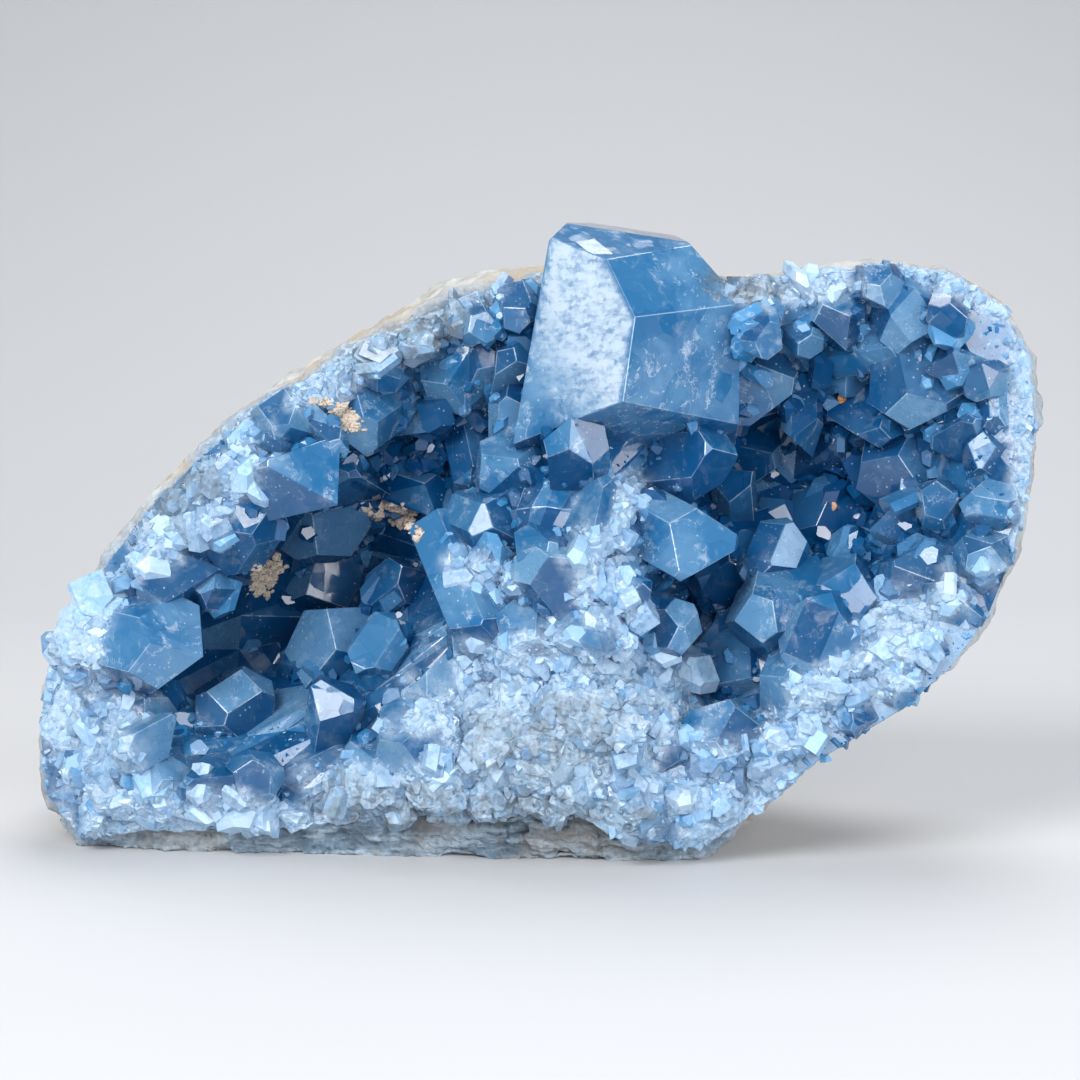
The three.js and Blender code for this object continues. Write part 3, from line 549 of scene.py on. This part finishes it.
def make_crust():
    """The crust in fine triangles, with worn edges, crumbled white areas and the marks that its material reads."""
    bm = joined_copy("crystal_crust")
    bmesh.ops.dissolve_limit(bm, angle_limit=math.radians(0.4), verts=bm.verts, edges=bm.edges)
    dice = random.Random(5)
    facet_mark = bm.faces.layers.float.new("facet")
    edge_mark = bm.faces.layers.float.new("edge")
    against_rock = bm.faces.layers.int.new("against rock")
    for face in bm.faces:
        face[facet_mark] = dice.random()
        if (face.calc_center_median() - GREAT_CORNER).length < 0.03 and face.calc_area() > 0.00015:
            face[facet_mark] = 0.6
        face[against_rock] = face.normal.y > 0.35 and behind_face(face.calc_center_median()) > 0.001
    wear_edges(bm, edge_mark, dice)
    bmesh.ops.triangulate(bm, faces=bm.faces)
    split_long_edges(
        bm, lambda middles: np.where(plain_share(WHITE_AREAS, middles) > 0.25, WHITE_CELL, BLUE_CELL), against_rock
    )
    bm.normal_update()
    painted_shade_mark, frost_mark, dirt_mark, crushed_mark = [
        bm.verts.layers.float.new(name) for name in ("painted_shade", "frost", "dirt", "crushed")
    ]
    places = np.array([vert.co for vert in bm.verts])
    surface = BVHTree.FromBMesh(bm)
    rims = np.array([at_rim(vert.co) for vert in bm.verts])
    whites = np.maximum(ragged_share(WHITE_AREAS, places), rims)
    dirts = ragged_share(DIRTY_AREAS, places)
    for vert, white, dirt in zip(bm.verts, whites, dirts):
        place = vert.co.copy()
        hidden = any(face[against_rock] for face in vert.link_faces)
        # Painted shade: the crust is painted a deeper blue where the surface around shuts it in and the further back
        # in the hollows it lies.
        shade = 0.0 if hidden else sheltered(surface, place, vert.normal)
        deep = smooth(behind_face(place) + 0.004 * noise.noise(place * 60), 0.002, 0.026)
        vert[painted_shade_mark] = min(0.8 * deep + 0.75 * shade, 1)
        vert[frost_mark] = max(white, frosted_share(place, vert.normal))
        vert[dirt_mark] = dirt
        vert[crushed_mark] = white
        if not hidden:
            crumbling = smooth(white, 0.35, 0.8) * 0.00070
            vert.co = place + vert.normal * crumbling * noise.fractal(place * 330, 0.7, 2.1, 3)
    tones = (DEEP_BLUE, BLUE, PALE_BLUE, ICE_WHITE)
    material = make_celestine("celestine", 0.4, tones, (0.03, 0.14), absorb=((0.06, 0.62, 0.92), 40.0))
    piece = piece_from(bm, "crust_of_celestine", material)
    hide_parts("crystal_crust")
    return piece


crust = make_crust()

# ---- Crushed skin --------------------------------------------------------------------------------------------
# Where the crust was crushed when the nodule was opened it is a white, sugary mass of packed crumbs. It is a skin a
# millimetre thick that is grown together with the crust under it.

CRUMB_SIZE = 0.0013
SKIN_CELL, SKIN_THICK = 0.0024, 0.0008
LEAST_CRUSHED = 0.46  # the skin covers what is crushed at least this much


def crumbled(place):
    """How far a crumb's flat top stands out at a place: each crumb has its own height and its own slope."""
    near, middles = noise.voronoi(place / CRUMB_SIZE)
    middle = middles[0]
    slope = Vector((noise.cell(middle * 7.3), noise.cell(middle * 5.1 + Vector((9, 0, 0))), noise.cell(middle * 3.7)))
    return 0.0003 * noise.cell(middle * 11.7) + 0.0005 * slope.dot(place / CRUMB_SIZE - middle)


def make_crushed_skin():
    """A closed slab over the crushed areas, with its rim sunk into the crust and its top broken into crumbs."""
    bm = bmesh.new()
    bm.from_mesh(crust.data)
    crushed = bm.verts.layers.float["crushed"]
    against_rock = bm.faces.layers.int["against rock"]
    clean = [
        face for face in bm.faces
        if face[against_rock] or min(vert[crushed] for vert in face.verts) < LEAST_CRUSHED
    ]
    bmesh.ops.delete(bm, geom=clean, context="FACES")
    split_long_edges(bm, lambda middles: np.full(len(middles), SKIN_CELL))
    bm.normal_update()
    normals = {vert: vert.normal.copy() for vert in bm.verts}
    rim = {vert for vert in bm.verts if vert.is_boundary}
    inner = bmesh.ops.extrude_face_region(bm, geom=bm.faces[:] + bm.edges[:] + bm.verts[:], use_keep_orig=True)
    bm.normal_update()
    for vert in (item for item in inner["geom"] if isinstance(item, bmesh.types.BMVert)):
        vert.co -= vert.normal * SKIN_THICK
    for vert, normal in normals.items():
        vert.co += normal * (-0.0003 if vert in rim else 0.00035 + crumbled(vert.co))
    bmesh.ops.recalc_face_normals(bm, faces=bm.faces)
    tones = ((0.02, 0.12, 0.28), (0.08, 0.24, 0.44), (0.20, 0.37, 0.56), (0.40, 0.52, 0.64))
    material = make_celestine("crushed celestine", 0.0, tones, (0.12, 0.35), crumb_tilt=0.7)
    piece = piece_from(bm, "crushed_skin", material)
    return piece


make_crushed_skin()

# ---- Druse ---------------------------------------------------------------------------------------------------
# Small celestine crystals that grew over the crust last: sugar-fine and white on the ridge, the foot and the rim,
# larger and clearer on the banks, and blue in the hollows, painted deeper blue there as shade. Each is rooted in what
# it stands on.

CELL = Vector((8.36, 5.35, 6.87))  # celestine's cell, which gives its forms their angles


def form(h, k, l):
    """Which way a face with these indices looks."""
    return Vector((h / CELL.x, k / CELL.y, l / CELL.z)).normalized()


def make_seed(width, thick, tip, dice):
    """One crystal, a unit long from its middle up to its tip: c and o faces round it, m and d faces on top."""
    bm = bmesh.new()
    bmesh.ops.create_cube(bm, size=3.2)
    planes = [(Vector((0, 0, -1)), 1.0)]
    for side in (1, -1):
        planes.append((Vector((0, side, 0)), thick * dice.uniform(0.85, 1.2)))
        for other in (1, -1):
            o = form(0, 1, 1)
            planes.append((Vector((side * o.y, other * o.z, 0)), width * dice.uniform(0.8, 1.15)))
        m, d = form(2, 1, 0), form(1, 0, 1)
        planes.append((Vector((side * m.y, 0, m.x)), tip * m.x * dice.uniform(0.9, 1.15)))
        planes.append((Vector((0, side * d.z, d.x)), d.x * dice.uniform(0.9, 1.2)))
    return cut_to(bm, planes)


def make_splinter(dice):
    """One broken piece of a crystal: a few flat faces that look any way."""
    bm = bmesh.new()
    bmesh.ops.create_cube(bm, size=1.6)
    stretch = (dice.uniform(0.6, 1.1), dice.uniform(0.45, 0.9), dice.uniform(0.8, 1.4))
    bmesh.ops.scale(bm, vec=stretch, verts=bm.verts)
    looks = [Vector((dice.gauss(0, 1), dice.gauss(0, 1), dice.gauss(0.4, 1))).normalized() for _ in range(6)]
    return cut_to(bm, [(way, dice.uniform(0.3, 0.6)) for way in looks])


def cut_to(bm, planes):
    """Cuts off what lies beyond each plane, and closes the cuts."""
    for looks, distance in planes:
        cut = bmesh.ops.bisect_plane(
            bm, geom=bm.verts[:] + bm.edges[:] + bm.faces[:], plane_co=looks * distance, plane_no=looks,
            clear_outer=True,
        )
        edges = [item for item in cut["geom_cut"] if isinstance(item, bmesh.types.BMEdge)]
        if edges:
            bmesh.ops.contextual_create(bm, geom=edges)
    bmesh.ops.recalc_face_normals(bm, faces=bm.faces)
    return bm


def spots_on(piece, weigh, count, seed):
    """Places and directions on a piece, more of them where weigh(middles, crushed) gives more."""
    mesh = piece.data
    mesh.calc_loop_triangles()
    corners = np.empty(len(mesh.loop_triangles) * 3, dtype=np.int32)
    mesh.loop_triangles.foreach_get("vertices", corners)
    corners = corners.reshape(-1, 3)
    first = corners.argmin(axis=1)
    corners = np.take_along_axis(corners, (first[:, None] + np.arange(3)) % 3, axis=1)
    corners = corners[np.lexsort(corners.T)]
    places = np.empty(len(mesh.vertices) * 3, dtype=np.float32)
    mesh.vertices.foreach_get("co", places)
    crushed = np.zeros(len(mesh.vertices), dtype=np.float32)
    if "crushed" in mesh.attributes:
        mesh.attributes["crushed"].data.foreach_get("value", crushed)
    triangles = places.reshape(-1, 3)[corners].astype(float)
    cross = np.cross(triangles[:, 1] - triangles[:, 0], triangles[:, 2] - triangles[:, 0])
    area = np.linalg.norm(cross, axis=1) / 2
    normals = cross / np.maximum(2 * area, 1e-12)[:, None]
    weight = area * weigh(triangles.mean(axis=1), crushed[corners].mean(axis=1))
    weight *= (normals[:, 1] < 0.25) & (area > 1e-10)
    rng = np.random.default_rng(seed)
    chosen = rng.choice(len(weight), size=count, p=weight / weight.sum())
    u, v = rng.random(count), rng.random(count)
    over = u + v > 1
    u[over], v[over] = 1 - u[over], 1 - v[over]
    t = triangles[chosen]
    places = t[:, 0] + u[:, None] * (t[:, 1] - t[:, 0]) + v[:, None] * (t[:, 2] - t[:, 0])
    return [(Vector(place), Vector(normal)) for place, normal in zip(places, normals[chosen])]


def grow(name, spots, sizes, seeds, material, seed, lean=0.5, sunk=0.35):
    """A piece with one small crystal at each spot. sizes are the smallest, the range and how rare large ones are."""
    dice = random.Random(seed)
    bm = bmesh.new()
    scratch = bpy.data.meshes.new("scratch")
    counts = []
    for place, normal in spots:
        size = sizes[0] + sizes[1] * dice.random() ** sizes[2]
        direction = normal + lean * Vector((dice.uniform(-1, 1), dice.uniform(-1, 0.4), dice.uniform(-1, 1)))
        turn = Vector((0, 0, 1)).rotation_difference(direction.normalized()).to_matrix().to_4x4()
        spin = Matrix.Rotation(dice.uniform(0, 2 * math.pi), 4, "Z")
        scale = Matrix.Diagonal((size * dice.uniform(0.8, 1.3), size * dice.uniform(0.8, 1.3), size, 1))
        root = place - direction.normalized() * size * sunk
        one = seeds[dice.randrange(len(seeds))].copy()
        bmesh.ops.transform(one, matrix=Matrix.Translation(root) @ turn @ spin @ scale, verts=one.verts)
        one.to_mesh(scratch)
        one.free()
        bm.from_mesh(scratch)
        counts.append(len(scratch.vertices))
    bpy.data.meshes.remove(scratch)
    piece = piece_from(bm, name, material)
    middles = np.array([place for place, normal in spots])
    each = np.random.default_rng(seed)
    marks = {
        # Painted shade: the small crystals are painted a deeper blue the further back in the hollows they stand.
        "painted_shade": np.clip((behind_face(middles) - 0.001) / 0.022, 0, 1),
        "frost": ragged_share(WHITE_AREAS, middles) * each.uniform(0.4, 1.1, len(middles)),
        "dirt": ragged_share(DIRTY_AREAS, middles),
        "facet": each.random(len(middles)),
    }
    for key, values in marks.items():
        piece.data.attributes.new(key, "FLOAT", "POINT").data.foreach_set("value", np.repeat(values, counts))
    return piece


dressed_crust = BVHTree.FromObject(crust, bpy.context.evaluated_depsgraph_get())

white_tones = ((0.035, 0.165, 0.35), (0.12, 0.30, 0.51), (0.25, 0.43, 0.61), (0.45, 0.56, 0.68))
clear_tones = ((0.001, 0.045, 0.15), (0.020, 0.165, 0.38), (0.12, 0.32, 0.56), (0.42, 0.58, 0.75))
sugar = make_celestine("sugar-white celestine", 0.0, white_tones, (0.12, 0.35))
clear = make_celestine("clear small celestine", 0.1, clear_tones, (0.04, 0.18))
dice = random.Random(19)
points = [
    make_seed(dice.uniform(0.42, 0.8), dice.uniform(0.3, 0.6), dice.uniform(0.75, 1.0), dice) for _ in range(10)
]
splinters = [make_splinter(dice) for _ in range(24)]

GREAT_MIDDLE = (0.0208, 0.1225)  # the great crystal's middle on the open face, x and z
GREAT_REACH = 0.0215


def bare(at):
    """Whether each place lies off the great crystal, on which no small crystals grew."""
    return np.hypot(at[:, 0] - GREAT_MIDDLE[0], (at[:, 2] - GREAT_MIDDLE[1]) * 0.8) > GREAT_REACH


def between(spots, surface, least=0.0, most=1.0):
    """The spots that are this far from a surface."""
    return [spot for spot in spots if least < surface.find_nearest(spot[0])[3] < most]


def in_shelter(spots, least):
    """The spots from which the crust shuts more than this share of the ways out."""
    return [spot for spot in spots if sheltered(dressed_crust, *spot) > least]


def rim_weight(at, crushed):
    return (behind_face(at) < 0.005) & (at[:, 2] > 0.010)


def crushed_weight(at, crushed):
    return np.clip(crushed - 0.25, 0, 1) * (behind_face(at) < 0.016) * bare(at)


def edge_weight(at, crushed):
    return (behind_face(at) < 0.006) * bare(at)


def bank_weight(at, crushed):
    return (0.05 + crushed) * (behind_face(at) < 0.012) * bare(at)


def hollow_weight(at, crushed):
    return np.where(behind_face(at) > 0.006, 1.0, 0.15) * bare(at)


def pale_weight(at, crushed):
    white_core = [area for area in WHITE_AREAS if area["name"] == "lower middle"]
    outside_core = plain_share(white_core, at) < 0.5
    return np.clip(crushed - 0.2, 0, 1) * (behind_face(at) < 0.014) * bare(at) * outside_core


def block_weight(at, crushed):
    return (behind_face(at) > 0.006) * (behind_face(at) < 0.030) * bare(at)


# The rim's sugar hides the joint of crust and shell.
rim_spots = between(spots_on(shell, rim_weight, 42000, 21), dressed_crust, 0.0002, 0.0020)
grow("rim_druse", rim_spots[:5400], (0.0006, 0.0012, 1.4), splinters, sugar, 22, lean=1.3)

crushed_spots = between(spots_on(crust, crushed_weight, 8600, 23), solid_shell, 0.0030)
grow("crushed_druse", crushed_spots[:6200], (0.0005, 0.0019, 3.5), splinters, sugar, 24, lean=1.4)

edge_spots = between(spots_on(crust, edge_weight, 9000, 29), solid_shell, most=0.007)
grow("edge_druse", edge_spots[:3000], (0.0005, 0.0011, 2.5), points, clear, 30, lean=0.5, sunk=0.7)

bank_spots = in_shelter(between(spots_on(crust, bank_weight, 4200, 25), solid_shell, 0.006), 0.3)
grow("bank_druse", bank_spots, (0.0012, 0.0034, 1.8), points, clear, 26, lean=0.6)

hollow_spots = in_shelter(spots_on(crust, hollow_weight, 6000, 27), 0.6)
grow("hollow_druse", hollow_spots, (0.0014, 0.0042, 1.8), points, clear, 28, lean=0.5)

pale_tones = ((0.02, 0.14, 0.34), (0.12, 0.34, 0.59), (0.30, 0.52, 0.75), (0.58, 0.72, 0.86))
pale = make_celestine("pale celestine", 0.1, pale_tones, (0.06, 0.22))
pale_spots = between(spots_on(crust, pale_weight, 700, 35), solid_shell, 0.0045)
grow("pale_crystals", pale_spots[:300], (0.0022, 0.0030, 1.5), points, pale, 36, lean=0.7, sunk=0.5)

block_spots = in_shelter(spots_on(crust, block_weight, 260, 33), 0.3)
grow("hollow_crystals", block_spots[:80], (0.0028, 0.0036, 1.3), points, clear, 34, lean=0.7, sunk=0.45)

for one in points + splinters:
    one.free()

# ---- Matrix patches ------------------------------------------------------------------------------------------
# Sandy tan matrix that stayed between the crystals when the nodule was opened: small crumbly lumps, pressed into
# the gaps.

PATCHES = (
    {"name": "hollow ledge", "at": (-0.0330, 0.0745), "half": (0.0062, 0.0030), "turn": -8},
    {"name": "left gap", "at": (-0.0655, 0.0600), "half": (0.0030, 0.0052), "turn": -20},
    {"name": "upper gap", "at": (-0.0440, 0.1000), "half": (0.0050, 0.0020), "turn": -35},
)


def make_sand():
    """Crumbly tan matrix."""
    material, tree, shader = new_material("sandy matrix")
    grain = grain_in(tree, 240.0, 1500.0)
    colour = blend_colours(tree, stepped(tree, grain["Cloud"], 0.35, 0.62), (0.14, 0.10, 0.07), (0.42, 0.34, 0.26))
    colour = blend_colours(tree, stepped(tree, grain["Grain"], 0.2, 0.5), colour, (0.52, 0.45, 0.38))
    tree.links.new(colour, shader.inputs["Base Color"])
    shader.inputs["Roughness"].default_value = 0.92
    bump = add_node(tree, "ShaderNodeBump", {"Strength": 0.8, "Distance": 0.0004}, {"Height": grain["Height"]})
    tree.links.new(bump.outputs["Normal"], shader.inputs["Normal"])
    return material


CRUMBS_IN_PATCH = 190
IN_FRONT = -0.1  # y of a plane well in front of the geode, from which places on its face are looked for


def make_patches():
    """The crumbs of all three spots, each half sunk into the crystal behind it."""
    bm = bmesh.new()
    dice = random.Random(31)
    for patch in PATCHES:
        turn = math.radians(patch["turn"])
        for _ in range(CRUMBS_IN_PATCH):
            along, across = dice.gauss(0, 0.42) * patch["half"][0], dice.gauss(0, 0.42) * patch["half"][1]
            x = patch["at"][0] + along * math.cos(turn) - across * math.sin(turn)
            z = patch["at"][1] + along * math.sin(turn) + across * math.cos(turn)
            hit = dressed_crust.ray_cast(Vector((x, IN_FRONT, z)), Vector((0, 1, 0)))[0]
            size = 0.0004 + 0.0013 * dice.random() ** 2
            hit.y += size * 0.4
            flat = Matrix.Diagonal((size * dice.uniform(0.8, 1.6), size * 0.8, size * dice.uniform(0.7, 1.2), 1))
            crumb = bmesh.ops.create_icosphere(
                bm, subdivisions=1, radius=1, matrix=Matrix.Translation(hit) @ flat
            )["verts"]
            for vert in crumb:
                vert.co += (vert.co - hit) * 0.9 * noise.noise(vert.co * 1500)
    piece = piece_from(bm, "matrix_patches", make_sand())
    return piece


make_patches()

# ---- Iron specks ---------------------------------------------------------------------------------------------
# Three grains of rusty iron oxide that sit on the crystals of the right hollow.

SPECKS = (
    {"at": (0.0722, 0.1036), "size": 0.0012, "colour": (0.45, 0.20, 0.05)},
    {"at": (0.0836, 0.0791), "size": 0.0007, "colour": (0.35, 0.03, 0.01)},
    {"at": (0.0708, 0.0782), "size": 0.0009, "colour": (0.50, 0.30, 0.20)},
)
for number, speck in enumerate(SPECKS):
    bm = bmesh.new()
    x, z = speck["at"]
    hit = dressed_crust.ray_cast(Vector((x, IN_FRONT, z)), Vector((0, 1, 0)))[0]
    bmesh.ops.create_icosphere(bm, subdivisions=2, radius=speck["size"], matrix=Matrix.Translation(hit))
    for vert in bm.verts:
        vert.co += (vert.co - hit) * 0.7 * noise.noise(vert.co * 900)
    iron, tree, shader = new_material(f"iron oxide {number + 1}")
    shader.inputs["Base Color"].default_value = (*speck["colour"], 1)
    shader.inputs["Roughness"].default_value = 0.6
    grain_piece = piece_from(bm, f"iron_speck_{number + 1}", iron)

# ---- Floor, light and camera ---------------------------------------------------------------------------------
# A plain pale floor and soft studio light. They aren't part of the geode.


def make_floor():
    """A floor that curves up into a wall behind the geode."""
    bm = bmesh.new()
    bmesh.ops.create_grid(bm, x_segments=1, y_segments=1, size=2.5)
    far = [edge for edge in bm.edges if all(vert.co.y > 0 for vert in edge.verts)]
    bmesh.ops.translate(bm, vec=(0, -2.1, 0), verts=far[0].verts)
    bent = bmesh.ops.spin(bm, geom=far, cent=(0, 0.4, 1.2), axis=(1, 0, 0), angle=math.pi / 2, steps=32)
    end = [item for item in bent["geom_last"] if isinstance(item, bmesh.types.BMEdge)]
    wall = bmesh.ops.extrude_edge_only(bm, edges=end)["geom"]
    bmesh.ops.translate(bm, vec=(0, 0, 2), verts=[item for item in wall if isinstance(item, bmesh.types.BMVert)])
    for face in bm.faces:
        face.smooth = True
    mesh = bpy.data.meshes.new("floor")
    bm.to_mesh(mesh)
    bm.free()
    floor = bpy.data.objects.new("floor", mesh)
    bpy.context.scene.collection.objects.link(floor)
    material, tree, shader = new_material("pale floor")
    shader.inputs["Base Color"].default_value = (0.55, 0.56, 0.58, 1)
    shader.inputs["Roughness"].default_value = 0.6
    mesh.materials.append(material)


make_floor()


def add_light(name, place, aim, size, watts, colour):
    """A round soft light."""
    light = bpy.data.lights.new(name, "AREA")
    light.shape = "DISK"
    light.size = size
    light.energy = watts
    light.color = colour
    lamp = bpy.data.objects.new(name, light)
    lamp.location = place
    lamp.rotation_euler = (Vector(aim) - Vector(place)).to_track_quat("-Z", "Y").to_euler()
    bpy.context.scene.collection.objects.link(lamp)


add_light("key", (-0.7, -1.0, 0.95), (0, 0, 0.07), 0.9, 24, (1, 0.99, 0.97))
add_light("front", (0.25, -1.25, 0.30), (0, 0, 0.07), 0.8, 11, (1, 1, 1))
add_light("right", (1.2, -0.5, 0.6), (0, 0, 0.07), 0.8, 8, (0.96, 0.98, 1))
add_light("top", (0.1, 0.45, 1.15), (0, 0, 0.06), 0.8, 9, (1, 1, 1))

world = bpy.data.worlds.new("studio")
world.use_nodes = True
world.node_tree.nodes["Background"].inputs["Color"].default_value = (0.80, 0.84, 0.90, 1)
world.node_tree.nodes["Background"].inputs["Strength"].default_value = 0.25
bpy.context.scene.world = world
bpy.context.scene.view_settings.view_transform = "Standard"

CAMERA_AIM = Vector((0.0014, -0.0351, 0.0733))
CAMERA_DISTANCE = 0.608
CAMERA_DOWN = math.radians(6)

lens = bpy.data.cameras.new("camera")
lens.lens = 90
lens.sensor_width = 36
lens.clip_end = 50
camera = bpy.data.objects.new("camera", lens)
looks = Vector((0, math.cos(CAMERA_DOWN), -math.sin(CAMERA_DOWN)))
camera.location = CAMERA_AIM - CAMERA_DISTANCE * looks
camera.rotation_euler = (math.pi / 2 - CAMERA_DOWN, 0, 0)
bpy.context.scene.collection.objects.link(camera)
bpy.context.scene.camera = camera
